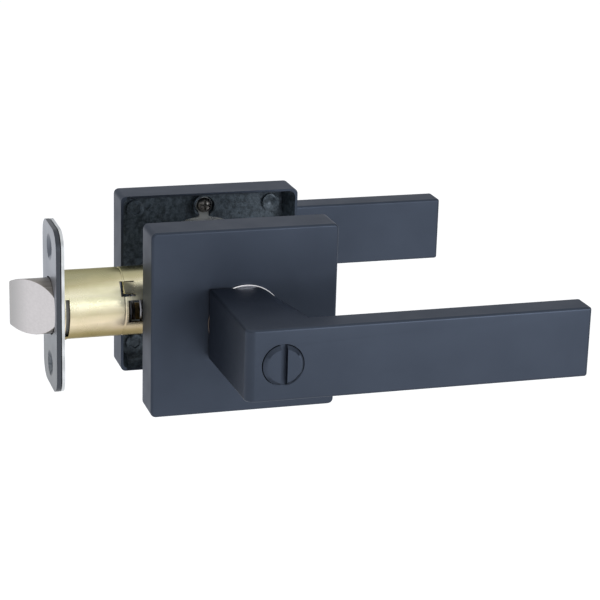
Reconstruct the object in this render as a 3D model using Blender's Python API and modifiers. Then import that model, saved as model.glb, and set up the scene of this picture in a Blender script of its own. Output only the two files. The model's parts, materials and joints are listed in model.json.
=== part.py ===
"""Privacy door lever set: two square roses, two flat bar levers, and a tubular spring latch.

The origin is on the spindle axis, halfway through the door. +X runs towards the lever ends,
-Y towards the room side (front), +Z up. Each trim is built in its own frame, whose local Z
points away from the door, and the latch in a frame whose local Z is the world's +X.
"""

import math

import bmesh
import bpy
from mathutils import Matrix, Vector

# Driving dimensions, in metres.
DOOR_THICKNESS = 0.035
BACKSET = 0.0603
CLEARANCE = 0.0003
SHEET = 0.0008

# Roses
ROSE_SIDE = 0.064
ROSE_DEPTH = 0.013
ROSE_CORNER = 0.0018
ROSE_EDGE = 0.0009
ROSE_RIM_WALL = 0.0009
ROSE_BASE_WALL = 0.0027
ROSE_FACE_WALL = 0.0027
CAVITY_CORNER = 0.002
CORNER_BOSS_INSET = 0.0044
CORNER_BOSS_RADIUS = 0.0032
CORNER_BOSS_HEIGHT = 0.0013
CORNER_SOCKET_RADIUS = 0.0021
CORNER_SOCKET_DEPTH = 0.0006
CORNER_RIB_LENGTH = 0.0022
CORNER_RIB_WIDTH = 0.0006
DIMPLE_RADIUS = 0.0023
DIMPLE_DEPTH = 0.0011
SCREW_BOSS_RADIUS = 0.0042
SCREW_BOSS_WALL = 0.0007
SCREW_BOSS_HEIGHT = 0.003

# Spindle, hub, ring and lever socket, from the middle outwards
SPINDLE_SIDE = 0.008
SPINDLE_BORE_RADIUS = 0.0026
SPINDLE_FRONT_PAST_ROSE = 0.0035
SPINDLE_REAR_PAST_ROSE = 0.0115
HUB_WALL = 0.0016
HUB_STUB_LENGTH = 0.0121
HUB_STUB_STEP = 0.0015
HUB_SHOULDER_STEP = 0.0015
HUB_SHOULDER = 0.0013
HUB_SHOULDER_DROP = 0.0008
HUB_FLAT_DEPTH = 0.0012
HUB_GROOVE_DEPTH = 0.0016
HUB_GROOVE_DROP = 0.0063
HUB_FLAT_DROP = 0.004
HUB_LIP = 0.0009
RING_WALL = 0.0015
RING_FLANGE_WIDTH = 0.002
RING_FLANGE = 0.0008
RING_EDGE = 0.0002
RING_FOOT_DROP = 0.0005
NECK_WALL = 0.0047
NECK_SHOULDER = 0.0005
NECK_BLADE_INSET = 0.0019
NECK_FACET_ANGLE = math.radians(42.5)

# Spring cartridge
SPRING_WIRE = 0.0006
SPRING_TURNS = 2
SPRING_ROOM = 0.0021
SPRING_LEG = 0.002
CUP_HEIGHT = 0.0045
LEG_SLOT_HALF = 0.0012
CAM_OVERHANG = 0.0002
CAM_THICKNESS = 0.0012
LUG_SIDE = 0.0032
LUG_WIDTH = 0.0021
LUG_THICKNESS = 0.001
LUG_REACH = 0.0023
LUG_RISE = 0.0026
RETAINER_WIDTH = 0.0029
RETAINER_GAP = math.radians(24)
EAR_RADIUS = 0.0031
EAR_NECK = 0.0018
EAR_MARGIN = 0.001
POST_EAR_RADIUS = 0.0046
POST_EAR_SHIFT = 0.0011
HOUSING_MARGIN = 0.0015

# Fasteners
POST_RADIUS = 0.0036
POST_GAP = 0.0005
POST_STUB_RADIUS = 0.0024
POST_PAST_MIDDLE = 0.008
POST_END_CHAMFER = 0.0006
POST_BORE_DEPTH = 0.018
THREAD_POINT = 0.002
BOLT_SHANK_RADIUS = 0.0016
BOLT_HEAD_RADIUS = 0.0042
BOLT_HEAD_HEIGHT = 0.0022
BOLT_HEAD_EDGE = 0.0008
BOLT_PAST_MIDDLE = 0.006
BOLT_POINT = 0.001
PLATE_SCREW_HEAD_RADIUS = 0.0027
PLATE_SCREW_HEAD_HEIGHT = 0.0016
PLATE_SCREW_RADIUS = 0.0013
PLATE_SCREW_BITE = 0.0013
PLATE_SCREW_HOLE = 0.0017
CROSS_DEPTH = 0.0009
CLIP_STRIP = 0.0005
CLIP_FOOT = 0.006
CLIP_RISE = 0.002
CLIP_HALF_WIDTH = 0.0025

# Levers
LEVER_REACH = 0.045
LEVER_HEIGHT = 0.024
LEVER_THICKNESS = 0.0102
LEVER_END = 0.105
LEVER_START = 0.012
LEVER_EDGE = 0.0009
LEVER_SOFT_EDGE = 0.003
SOCKET_DEPTH = 0.018
SET_SCREW_RADIUS = 0.0024
SET_SCREW_HEIGHT = 0.0061
SET_SCREW_SUNK = 0.0008
SET_SCREW_SOCKET_RADIUS = 0.0013
SET_SCREW_SOCKET_DEPTH = 0.0018
RELEASE_HOLE_RADIUS = 0.0016

# Turn button and lock
BUTTON_RADIUS = 0.0067
BUTTON_PROUD = 0.0013
BUTTON_HEIGHT = 0.005
BUTTON_CHAMFER = 0.00115
BUTTON_SLOT_WIDTH = 0.0022
BUTTON_SLOT_DEPTH = 0.002
BUTTON_SHAFT_RADIUS = 0.003
BUTTON_SHAFT_GAP = 0.001
BUTTON_CLIP_DROP = 0.0014
BUTTON_CLIP_GROOVE = 0.0007
BUTTON_CLIP_WIDTH = 0.0026
BUTTON_CLIP_GAP = math.radians(30)
LOCK_BAR_WIDTH = 0.004
LOCK_BAR_THICKNESS = 0.0016
LOCK_BAR_GRIP = 0.0037
LOCK_BAR_INSET = 0.006
LOCK_CAM_LOBE = 0.0044
LOCK_CAM_REACH = 0.0066
LOCK_CAM_THICKNESS = 0.0018

# Tubular latch
PLATE_HEIGHT = 0.05715
PLATE_WIDTH = 0.0254
PLATE_THICKNESS = 0.0015
PLATE_CORNER = 0.00635
BACKPLATE_THICKNESS = 0.001
PLATE_HOLE_SPACING = 0.0413
PLATE_HOLE_RADIUS = 0.0026
PLATE_BOLT_GAP = 0.00045
COUNTERSINK_RADIUS = 0.0049
BOLT_RADIUS = 0.0096
BOLT_FLAT = 0.0065
BOLT_THROW = 0.0127
BOLT_HEEL_HALF = 0.0052
BOLT_TIP_LAND = 0.0008
BOLT_EDGE = 0.0007
BOLT_FLANGE = 0.0016
GUIDE_LENGTH = 0.0077
GUIDE_WALL = 0.0008
TUBE_WALL = 0.0008
TUBE_COLLAR_STEP = 0.00025
TUBE_COLLAR_LENGTH = 0.0018
TUBE_POST_GAP = 0.0011
TUBE_GROOVE_DEPTH = 0.0003
TUBE_GROOVE_WIDTH = 0.0006
TUBE_GROOVE_GAP = 0.0012
MOUTH_NOTCH_GAP = 0.0003
MOUTH_NOTCH_WIDTH = 0.0014
MOUTH_NOTCH_TOP = 0.005
MOUTH_NOTCH_BOTTOM = 0.009
WINDOW_LENGTH = 0.0113
WINDOW_TOP = 0.0035
WINDOW_BOTTOM = 0.0044
TAB_ANGLE = math.radians(142)
TAB_TILT = math.radians(16)
TAB_LENGTH = 0.005
TAB_HALF_WIDTH = 0.0028
TAB_GAP = 0.0007
TAB_OVERLAP = 0.0024
YOKE_GAP = 0.0004
YOKE_ARM = 0.0015
YOKE_STEM_HALF = 0.006
YOKE_STEM_LENGTH = 0.0048
YOKE_BRIDGE = 0.004
YOKE_PAST_HUB = 0.002
YOKE_THICKNESS = 0.0016
FRAME_WALL = 0.0022
FRAME_GAP = 0.010
FRAME_SHEET = 0.001
FRAME_DISC = 0.0012
FRAME_OVERLAP = 0.0002
FRAME_REAR = 0.012
LATCH_HUB_WALL = 0.0009
LATCH_HUB_PROUD = 0.001
FINGER_WIDTH = 0.0032
FINGER_THICKNESS = 0.0018
LATCH_WIRE = 0.00042
LATCH_TURNS = 6
LATCH_SPRING_GAP = 0.0002

# Places along each side, measured outwards from the middle of the door.
RIM = DOOR_THICKNESS / 2
FACE = RIM + ROSE_DEPTH
FLOOR = FACE - ROSE_FACE_WALL
RING_TOP = FACE + CLEARANCE + RING_FLANGE
NECK_BASE = RING_TOP + CLEARANCE
LEVER_FACE = FACE + LEVER_REACH
LEVER_BACK = LEVER_FACE - LEVER_THICKNESS
SOCKET_TOP = NECK_BASE + SOCKET_DEPTH
SET_SCREW_PLACE = NECK_BASE + SET_SCREW_HEIGHT
BUTTON_TOP = LEVER_FACE + BUTTON_PROUD
BUTTON_SEAT = BUTTON_TOP - BUTTON_HEIGHT
CLIP_GROOVE = SOCKET_TOP - BUTTON_CLIP_DROP
REAR_FLANGE = FLOOR - CLEARANCE - SHEET
FRONT_FLANGE = REAR_FLANGE - 2 * CLEARANCE - BOLT_HEAD_HEIGHT
SPINDLE_FRONT = FACE + SPINDLE_FRONT_PAST_ROSE
SPINDLE_REAR = FACE + SPINDLE_REAR_PAST_ROSE
SHAFT_END = SPINDLE_FRONT + BUTTON_SHAFT_GAP

# Widths that fit round each other, from the spindle outwards.
BORE_SIDE = SPINDLE_SIDE + 2 * CLEARANCE
BORE_CORNER = BORE_SIDE / math.sqrt(2)
HUB_STUB_RADIUS = BORE_CORNER + HUB_WALL
JOURNAL_RADIUS = HUB_STUB_RADIUS + HUB_STUB_STEP
HUB_FLAT = JOURNAL_RADIUS - HUB_FLAT_DEPTH
HUB_GROOVE_RADIUS = JOURNAL_RADIUS - HUB_GROOVE_DEPTH
RING_SLEEVE_RADIUS = JOURNAL_RADIUS + CLEARANCE + RING_WALL
RING_RADIUS = RING_SLEEVE_RADIUS + RING_FLANGE_WIDTH
HUB_SHOULDER_RADIUS = RING_SLEEVE_RADIUS + HUB_SHOULDER_STEP
CUP_BORE = HUB_SHOULDER_RADIUS + SPRING_ROOM
CUP_RADIUS = CUP_BORE + SHEET
CAM_RADIUS = CUP_RADIUS + CAM_OVERHANG
POST_SPREAD = CUP_RADIUS + POST_RADIUS + POST_GAP
HOUSING_RADIUS = POST_SPREAD + HOUSING_MARGIN
NECK_RADIUS = HUB_STUB_RADIUS + CLEARANCE + NECK_WALL
NECK_HALF_HEIGHT = NECK_RADIUS - NECK_SHOULDER
NECK_BLADE_SIDE = NECK_RADIUS - NECK_BLADE_INSET
CAVITY_HALF = ROSE_SIDE / 2 - ROSE_BASE_WALL
ROSE_SCREW_OFFSET = CAVITY_HALF - EAR_RADIUS - EAR_MARGIN
CORNER_BOSS_OFFSET = CAVITY_HALF - CORNER_BOSS_INSET

# Widths of the latch, from the spindle outwards.
LATCH_HUB_RADIUS = BORE_CORNER + LATCH_HUB_WALL
YOKE_INNER = LATCH_HUB_RADIUS + YOKE_GAP
YOKE_OUTER = YOKE_INNER + YOKE_ARM
FRAME_HALF_HEIGHT = LATCH_HUB_RADIUS + CLEARANCE + FRAME_WALL
BOLT_ROOM = BOLT_RADIUS + GUIDE_WALL
YOKE_ROOM = YOKE_OUTER + 2 * LATCH_WIRE + LATCH_SPRING_GAP
TUBE_BORE = max(BOLT_ROOM, YOKE_ROOM) + 2 * CLEARANCE
TUBE_RADIUS = TUBE_BORE + TUBE_WALL
INSIDE_TUBE = TUBE_BORE - CLEARANCE

# Places along the latch, from its plate inwards.
PLATE_FRONT = -BACKSET
PLATE_BACK = PLATE_FRONT + PLATE_THICKNESS
BACKPLATE_FRONT = PLATE_BACK + CLEARANCE
TUBE_FRONT = BACKPLATE_FRONT + BACKPLATE_THICKNESS + CLEARANCE
TUBE_REAR = -(POST_SPREAD + POST_RADIUS + TUBE_POST_GAP)
GUIDE_FRONT = TUBE_FRONT + CLEARANCE
GUIDE_REAR = GUIDE_FRONT + GUIDE_LENGTH
BOLT_TIP = PLATE_FRONT - BOLT_THROW
BOLT_REAR = GUIDE_REAR + CLEARANCE
FLANGE_REAR = BOLT_REAR + BOLT_FLANGE
FRAME_FRONT = TUBE_REAR + CLEARANCE

ROUND = 36
COARSE = 24


def clear_scene():
    for obj in list(bpy.data.objects):
        bpy.data.objects.remove(obj, do_unlink=True)


def new_collection(name):
    collection = bpy.data.collections.new(name)
    bpy.context.scene.collection.children.link(collection)
    return collection


clear_scene()
PARTS = new_collection("door_lever_handle")
CUTTERS = new_collection("cutters")


def material(name, color, roughness, metallic):
    made = bpy.data.materials.new(name)
    made.use_nodes = True
    shader = made.node_tree.nodes["Principled BSDF"]
    shader.inputs["Base Color"].default_value = (*color, 1.0)
    shader.inputs["Roughness"].default_value = roughness
    shader.inputs["Metallic"].default_value = metallic
    return made


BLACK = material("satin_black", (0.045, 0.055, 0.075), 0.42, 0.3)
NICKEL = material("satin_nickel", (0.62, 0.59, 0.58), 0.3, 1.0)
YELLOW_ZINC = material("yellow_zinc", (0.75, 0.66, 0.38), 0.28, 1.0)
ZINC = material("bright_zinc", (0.60, 0.62, 0.62), 0.35, 1.0)
SPRING_STEEL = material("spring_steel", (0.28, 0.28, 0.30), 0.35, 1.0)
BRONZE = material("dark_bronze", (0.10, 0.075, 0.06), 0.4, 0.9)
DARK_NICKEL = material("dark_nickel", (0.30, 0.32, 0.37), 0.4, 0.9)
NYLON = material("grey_nylon", (0.12, 0.12, 0.12), 0.55, 0.0)


def side_frame(name, turn):
    """An empty whose local Z points out of the door: turn is 1 on the front and -1 on the rear."""
    frame = bpy.data.objects.new(name, None)
    PARTS.objects.link(frame)
    frame.rotation_euler = (turn * math.pi / 2, 0.0, 0.0)
    return frame


FRONT = side_frame("front_side", 1)
REAR = side_frame("rear_side", -1)
LATCH = side_frame("latch_side", 1)
LATCH.rotation_euler = (math.pi / 2, 0.0, math.pi / 2)


def shade(mesh):
    mesh.shade_smooth()
    mesh.set_sharp_from_angle(angle=math.radians(32))


def add_object(name, mesh, parent, at, finish):
    obj = bpy.data.objects.new(name, mesh)
    obj.parent = parent
    obj.location = at
    if finish is None:
        CUTTERS.objects.link(obj)
        obj.hide_render = True
        obj.display_type = "WIRE"
    else:
        PARTS.objects.link(obj)
        mesh.materials.clear()
        mesh.materials.append(finish)
        shade(mesh)
    return obj


def from_bmesh(name, bm, parent, at=(0, 0, 0), finish=None):
    mesh = bpy.data.meshes.new(name)
    bm.to_mesh(mesh)
    bm.free()
    return add_object(name, mesh, parent, at, finish)


def box(name, low, high, parent, at=(0, 0, 0), finish=None):
    low = Vector(low)
    high = Vector(high)
    bm = bmesh.new()
    bmesh.ops.create_cube(bm, size=1.0)
    bmesh.ops.scale(bm, vec=high - low, verts=bm.verts)
    bmesh.ops.translate(bm, vec=(low + high) / 2, verts=bm.verts)
    return from_bmesh(name, bm, parent, at, finish)


def cylinder(name, radius, low, high, parent, at=(0, 0, 0), finish=None, top_radius=None, sides=COARSE):
    """A cylinder or cone along local Z, from low to high."""
    bm = bmesh.new()
    top = radius if top_radius is None else top_radius
    bmesh.ops.create_cone(bm, cap_ends=True, segments=sides, radius1=radius, radius2=top, depth=high - low)
    bmesh.ops.translate(bm, vec=(0, 0, (low + high) / 2), verts=bm.verts)
    return from_bmesh(name, bm, parent, at, finish)


def turned(name, profile, parent, finish, at=(0, 0, 0), ring=False, sides=ROUND):
    """Turns (radius, height) points about local Z. The points run down the outer side; a ring closes."""
    mesh = bpy.data.meshes.new(name)
    last = len(profile) - 1
    edges = [(i, i + 1) for i in range(last)]
    if ring:
        edges.append((last, 0))
    mesh.from_pydata([(r, 0.0, h) for r, h in profile], edges, [])
    obj = add_object(name, mesh, parent, at, finish)
    screw = obj.modifiers.new("turn", "SCREW")
    screw.steps = sides
    screw.render_steps = sides
    screw.use_merge_vertices = True
    screw.merge_threshold = 0.00001
    screw.use_smooth_shade = True
    return obj


def arc(radius, start, end, count, centre=(0.0, 0.0)):
    """Points on an arc, both ends included."""
    step = (end - start) / count
    angles = [start + step * i for i in range(count + 1)]
    return [(centre[0] + radius * math.cos(a), centre[1] + radius * math.sin(a)) for a in angles]


def circle(radius, count=COARSE, centre=(0.0, 0.0)):
    return arc(radius, 0.0, 2 * math.pi, count, centre)[:-1]


def flatted_circle(radius, flat, along_x=True, count=10):
    """A circle with two parallel flats, each at the distance flat from its centre."""
    reach = math.acos(flat / radius)
    top = arc(radius, reach, math.pi - reach, count)
    points = top + [(-x, -y) for x, y in top]
    return points if along_x else [(y, x) for x, y in points]


def d_shape(radius, flat, count=28):
    """A circle with one flat, on its +X side."""
    reach = math.acos(flat / radius)
    return arc(radius, reach, 2 * math.pi - reach, count)


def rounded_rectangle(width, height, radius, count=6):
    points = []
    for quarter, (sx, sy) in enumerate(((1, 1), (-1, 1), (-1, -1), (1, -1))):
        centre = (sx * (width / 2 - radius), sy * (height / 2 - radius))
        start = quarter * math.pi / 2
        points += arc(radius, start, start + math.pi / 2, count, centre)
    return points


def eared_disc(radius, ears):
    """A disc with round-ended ears: each ear is (direction, half its neck, its end's radius and centre)."""
    points = []
    for index, (direction, neck, end_radius, centre) in enumerate(ears):
        sweep = math.pi - math.asin(neck / end_radius)
        turn = Matrix.Rotation(direction, 2)
        for x, y in arc(end_radius, -sweep, sweep, 10, (centre, 0.0)):
            points.append(tuple(turn @ Vector((x, y))))
        following = ears[(index + 1) % len(ears)]
        stop = following[0] + (2 * math.pi if index == len(ears) - 1 else 0.0)
        stop -= math.asin(following[1] / radius)
        points += arc(radius, direction + math.asin(neck / radius), stop, 6)
    return points


def sheet(name, outlines, low, high, parent, at=(0, 0, 0), finish=None):
    """A flat piece from low to high along local Z: the first outline is its edge, the others are holes."""
    curve = bpy.data.curves.new(name, "CURVE")
    curve.dimensions = "2D"
    curve.fill_mode = "BOTH"
    curve.extrude = (high - low) / 2
    for outline in outlines:
        spline = curve.splines.new("POLY")
        spline.points.add(len(outline) - 1)
        for point, (x, y) in zip(spline.points, outline):
            point.co = (x, y, 0.0, 1.0)
        spline.use_cyclic_u = True
    mesh = mesh_of_curve(name, curve)
    mesh.transform(Matrix.Translation((0, 0, (low + high) / 2)))
    return add_object(name, mesh, parent, at, finish)


def mesh_of_curve(name, curve):
    """The closed mesh of a curve, with its loose caps welded on."""
    helper = bpy.data.objects.new(name + "_curve", curve)
    bpy.context.scene.collection.objects.link(helper)
    graph = bpy.context.evaluated_depsgraph_get()
    mesh = bpy.data.meshes.new_from_object(helper.evaluated_get(graph))
    bpy.data.objects.remove(helper)
    bm = bmesh.new()
    bm.from_mesh(mesh)
    bmesh.ops.remove_doubles(bm, verts=bm.verts, dist=0.000001)
    bmesh.ops.recalc_face_normals(bm, faces=bm.faces)
    bm.to_mesh(mesh)
    bm.free()
    mesh.name = name
    return mesh


def wire(name, points, radius, parent, finish):
    """A bent wire through the points."""
    curve = bpy.data.curves.new(name, "CURVE")
    curve.dimensions = "3D"
    curve.bevel_depth = radius
    curve.bevel_resolution = 2
    curve.use_fill_caps = True
    spline = curve.splines.new("POLY")
    spline.points.add(len(points) - 1)
    for point, place in zip(spline.points, points):
        point.co = (*place, 1.0)
    return add_object(name, mesh_of_curve(name, curve), parent, (0, 0, 0), finish)


def boolean(obj, other, operation):
    change = obj.modifiers.new(other.name, "BOOLEAN")
    change.operation = operation
    change.solver = "EXACT"
    change.object = other


def cut(obj, cutter):
    boolean(obj, cutter, "DIFFERENCE")


def join(obj, helper):
    boolean(obj, helper, "UNION")


def bevel_edges(bm, edges, width, segments):
    bmesh.ops.bevel(bm, geom=edges, offset=width, segments=segments, profile=0.5, affect="EDGES")


def flat_edges(bm, axis, value):
    """The edges whose two ends both have this value on this axis."""
    return [e for e in bm.edges if all(abs(v.co[axis] - value) < 1e-6 for v in e.verts)]


# Roses


def rose_shell(name, parent):
    """The outer form of a rose: a square block with round corners and a softer front edge."""
    bm = bmesh.new()
    bmesh.ops.create_cube(bm, size=1.0)
    bmesh.ops.scale(bm, vec=(ROSE_SIDE, ROSE_SIDE, ROSE_DEPTH), verts=bm.verts)
    bmesh.ops.translate(bm, vec=(0, 0, (RIM + FACE) / 2), verts=bm.verts)
    corners = [e for e in bm.edges if abs(e.verts[0].co.z - e.verts[1].co.z) > ROSE_DEPTH / 2]
    bevel_edges(bm, corners, ROSE_CORNER, 5)
    bevel_edges(bm, flat_edges(bm, 2, FACE), ROSE_EDGE, 4)
    return from_bmesh(name, bm, parent, finish=BLACK)


def rose_cavity(name, parent):
    """The drafted hollow behind a rose's face, open to the door."""
    rim_half = ROSE_SIDE / 2 - ROSE_RIM_WALL
    slope = (rim_half - CAVITY_HALF) / (FLOOR - RIM)
    low = RIM - ROSE_DEPTH / 2
    bm = bmesh.new()
    bmesh.ops.create_cube(bm, size=2.0)
    for vert in bm.verts:
        top = vert.co.z > 0
        half = CAVITY_HALF if top else CAVITY_HALF + slope * (FLOOR - low)
        vert.co = (math.copysign(half, vert.co.x), math.copysign(half, vert.co.y), FLOOR if top else low)
    corners = [e for e in bm.edges if abs(e.verts[0].co.z - e.verts[1].co.z) > ROSE_DEPTH / 2]
    bevel_edges(bm, corners, CAVITY_CORNER, 4)
    return from_bmesh(name, bm, parent)


def corner_bosses(rose, name, parent):
    """Four round bosses in the floor's corners: six-sided sockets and ribs on the left, dimples on the right."""
    offset = CORNER_BOSS_OFFSET
    top = FLOOR - CORNER_BOSS_HEIGHT
    for index, (across, up) in enumerate(((-1, 1), (-1, -1), (1, 1), (1, -1))):
        at = (across * offset, up * offset, 0)
        join(rose, cylinder(f"{name}_boss_{index}", CORNER_BOSS_RADIUS, top, FLOOR + CLEARANCE, parent, at,
                            sides=20))
        if across < 0:
            cut(rose, cylinder(f"{name}_socket_{index}", CORNER_SOCKET_RADIUS, top - CLEARANCE,
                               top + CORNER_SOCKET_DEPTH, parent, at, sides=6))
            corner_rib(rose, f"{name}_rib_{index}", parent, up)
        else:
            cut(rose, cylinder(f"{name}_dimple_{index}", DIMPLE_RADIUS, top - CLEARANCE / 2,
                               top + DIMPLE_DEPTH, parent, at, top_radius=DIMPLE_RADIUS / 2, sides=16))


def corner_rib(rose, name, parent, up):
    """A short slanted rib beside a left boss."""
    half = CORNER_RIB_LENGTH / 2
    rib = box(name, (-CORNER_RIB_WIDTH / 2, -half, FLOOR - CORNER_BOSS_HEIGHT / 2),
              (CORNER_RIB_WIDTH / 2, half, FLOOR + CLEARANCE), parent,
              (CORNER_RIB_LENGTH + CORNER_BOSS_RADIUS - CORNER_BOSS_OFFSET, up * CORNER_BOSS_OFFSET, 0))
    rib.rotation_euler = (0, 0, math.radians(40))
    join(rose, rib)


def screw_boss(rose, name, parent, end):
    """An open collar round a housing screw, slotted for the ear's neck, and the screw's blind hole."""
    at = (0, end * ROSE_SCREW_OFFSET, 0)
    top = FLOOR - SCREW_BOSS_HEIGHT
    join(rose, cylinder(f"{name}_collar", SCREW_BOSS_RADIUS, top, FLOOR + CLEARANCE, parent, at, sides=28))
    cut(rose, cylinder(f"{name}_collar_bore", SCREW_BOSS_RADIUS - SCREW_BOSS_WALL, top - CLEARANCE, FLOOR,
                       parent, at, sides=28))
    half = EAR_NECK + CLEARANCE
    rows = sorted((0.0, -end * (SCREW_BOSS_RADIUS + CLEARANCE)))
    cut(rose, box(f"{name}_collar_slot", (-half, rows[0], top - CLEARANCE), (half, rows[1], FLOOR), parent, at))
    cut(rose, cylinder(f"{name}_disc_room", HOUSING_RADIUS + CLEARANCE, top - CLEARANCE, FLOOR, parent,
                       sides=ROUND))
    cut(rose, cylinder(f"{name}_screw_hole", PLATE_SCREW_RADIUS + CLEARANCE, FLOOR - CLEARANCE,
                       FLOOR + PLATE_SCREW_HOLE, parent, at, sides=20))


def rose(side, parent, screwed):
    name = f"{side}_rosette"
    body = rose_shell(name, parent)
    cut(body, rose_cavity(f"{name}_cavity", parent))
    cut(body, cylinder(f"{name}_hub_hole", RING_SLEEVE_RADIUS + CLEARANCE, RIM, FACE + CLEARANCE, parent,
                       sides=ROUND))
    corner_bosses(body, name, parent)
    if screwed:
        for word, end in (("top", 1), ("bottom", -1)):
            screw_boss(body, f"{name}_{word}", parent, end)


# Spring cartridge behind each rose


def spring_housing(side, parent, flange):
    """A pressed disc with four ears, and the round cup that holds the return spring."""
    name = f"{side}_spring_housing"
    ears = []
    for quarter in range(4):
        if quarter % 2:
            ears.append((quarter * math.pi / 2, EAR_NECK, EAR_RADIUS, ROSE_SCREW_OFFSET))
        else:
            ears.append((quarter * math.pi / 2, POST_EAR_RADIUS, POST_EAR_RADIUS, POST_SPREAD + POST_EAR_SHIFT))
    holes = [circle(RING_SLEEVE_RADIUS + CLEARANCE, ROUND)]
    for end in (1, -1):
        holes.append(circle(POST_STUB_RADIUS + CLEARANCE, 16, (end * POST_SPREAD, 0.0)))
        holes.append(circle(PLATE_SCREW_RADIUS + CLEARANCE, 14, (0.0, end * ROSE_SCREW_OFFSET)))
    body = sheet(name, [eared_disc(HOUSING_RADIUS, ears)] + holes, flange, flange + SHEET, parent, finish=ZINC)
    top = flange + SHEET / 2
    low = flange - CUP_HEIGHT
    cup = turned(f"{name}_cup", [(CUP_RADIUS, top), (CUP_RADIUS, low), (CUP_BORE, low), (CUP_BORE, top)],
                 parent, None, ring=True)
    join(body, cup)
    cut(body, box(f"{name}_leg_slot", (-LEG_SLOT_HALF, CUP_BORE - CLEARANCE, low - CLEARANCE),
                  (LEG_SLOT_HALF, CUP_RADIUS + CLEARANCE, flange - CLEARANCE), parent))


def bearing_ring(side, parent, flange):
    """The flanged bush between the lever's neck and the rose."""
    foot = flange - RING_FOOT_DROP
    bore = JOURNAL_RADIUS + CLEARANCE
    under = FACE + CLEARANCE
    profile = [
        (RING_RADIUS - RING_EDGE, RING_TOP),
        (RING_RADIUS, RING_TOP - RING_EDGE),
        (RING_RADIUS, under),
        (RING_SLEEVE_RADIUS, under),
        (RING_SLEEVE_RADIUS, foot),
        (bore, foot),
        (bore, RING_TOP),
    ]
    turned(f"{side}_bearing_ring", profile, parent, NICKEL, ring=True, sides=48)


def drive_hub(side, parent, flange):
    """The sleeve that carries the lever, turns in the ring and drives the spindle."""
    name = f"{side}_drive_hub"
    top = RING_TOP + HUB_STUB_LENGTH
    shoulder = flange - HUB_SHOULDER_DROP
    groove = flange - HUB_GROOVE_DROP
    end = groove - SHEET - 2 * CLEARANCE
    foot = end - HUB_LIP
    profile = [
        (0.0, top),
        (HUB_STUB_RADIUS, top),
        (HUB_STUB_RADIUS, RING_TOP),
        (JOURNAL_RADIUS, RING_TOP),
        (JOURNAL_RADIUS, shoulder),
        (HUB_SHOULDER_RADIUS, shoulder),
        (HUB_SHOULDER_RADIUS, shoulder - HUB_SHOULDER),
        (JOURNAL_RADIUS, shoulder - HUB_SHOULDER),
        (JOURNAL_RADIUS, groove),
        (HUB_GROOVE_RADIUS, groove),
        (HUB_GROOVE_RADIUS, end),
        (JOURNAL_RADIUS, end),
        (JOURNAL_RADIUS, foot),
        (0.0, foot),
    ]
    body = turned(name, profile, parent, ZINC, sides=28)
    half = BORE_SIDE / 2
    cut(body, box(f"{name}_bore", (-half, -half, foot - CLEARANCE), (half, half, top + CLEARANCE), parent))
    wide = JOURNAL_RADIUS + HUB_SHOULDER_STEP
    for index, end_side in enumerate((1, -1)):
        rows = sorted((end_side * HUB_FLAT, end_side * wide))
        cut(body, box(f"{name}_flat_{index}", (-wide, rows[0], foot - CLEARANCE),
                      (wide, rows[1], flange - HUB_FLAT_DROP), parent))


def spring_cam(side, parent, flange, turn):
    """The disc on the hub's flats whose lug winds the return spring. turn is the side its lug is on."""
    name = f"{side}_spring_cam"
    top = flange - CUP_HEIGHT - CLEARANCE
    hole = flatted_circle(JOURNAL_RADIUS + CLEARANCE, HUB_FLAT + CLEARANCE, along_x=False)
    body = sheet(name, [circle(CAM_RADIUS, ROUND), hole], top - CAM_THICKNESS, top, parent, finish=ZINC)
    middle = turn * LUG_SIDE
    half = LUG_WIDTH / 2
    inner = CUP_RADIUS + CAM_OVERHANG
    outer = inner + LUG_REACH
    lug = box(f"{name}_lug", (middle - half, CUP_BORE, top - LUG_THICKNESS),
              (middle + half, outer, top - CAM_OVERHANG), parent)
    join(body, lug)
    riser = box(f"{name}_riser", (middle - half + RING_EDGE / 2, outer - LUG_THICKNESS - RING_EDGE / 2,
                                  top - LUG_THICKNESS / 2),
                (middle + half - RING_EDGE / 2, outer - RING_EDGE / 2, top + LUG_RISE), parent)
    join(body, riser)


def c_ring(name, inner, outer, gap, low, high, parent, finish):
    """A flat spring clip: a ring with a gap at the bottom."""
    start = -math.pi / 2 + gap
    end = 3 * math.pi / 2 - gap
    outline = arc(outer, start, end, 18) + arc(inner, end, start, 18)
    sheet(name, [outline], low, high, parent, finish=finish)


def retaining_ring(side, parent, flange):
    top = flange - HUB_GROOVE_DROP - CLEARANCE
    inner = HUB_GROOVE_RADIUS + CLEARANCE
    c_ring(f"{side}_retaining_ring", inner, inner + RETAINER_WIDTH, RETAINER_GAP, top - SHEET, top, parent,
           SPRING_STEEL)


def return_spring(side, parent, flange):
    """A torsion spring round the hub, with both legs standing out through the cup's slot."""
    radius = (HUB_SHOULDER_RADIUS + CUP_BORE) / 2
    low = flange - CUP_HEIGHT + SPRING_WIRE
    high = flange - 2 * SPRING_WIRE
    steps = 14 * SPRING_TURNS
    leg = CUP_RADIUS + SPRING_LEG
    points = [(0.0, leg, low)]
    for i in range(steps + 1):
        angle = math.pi / 2 + 2 * math.pi * SPRING_TURNS * i / steps
        height = low + (high - low) * i / steps
        points.append((radius * math.cos(angle), radius * math.sin(angle), height))
    points.append((0.0, leg, high))
    wire(f"{side}_return_spring", points, SPRING_WIRE, parent, SPRING_STEEL)


# Levers


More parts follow.
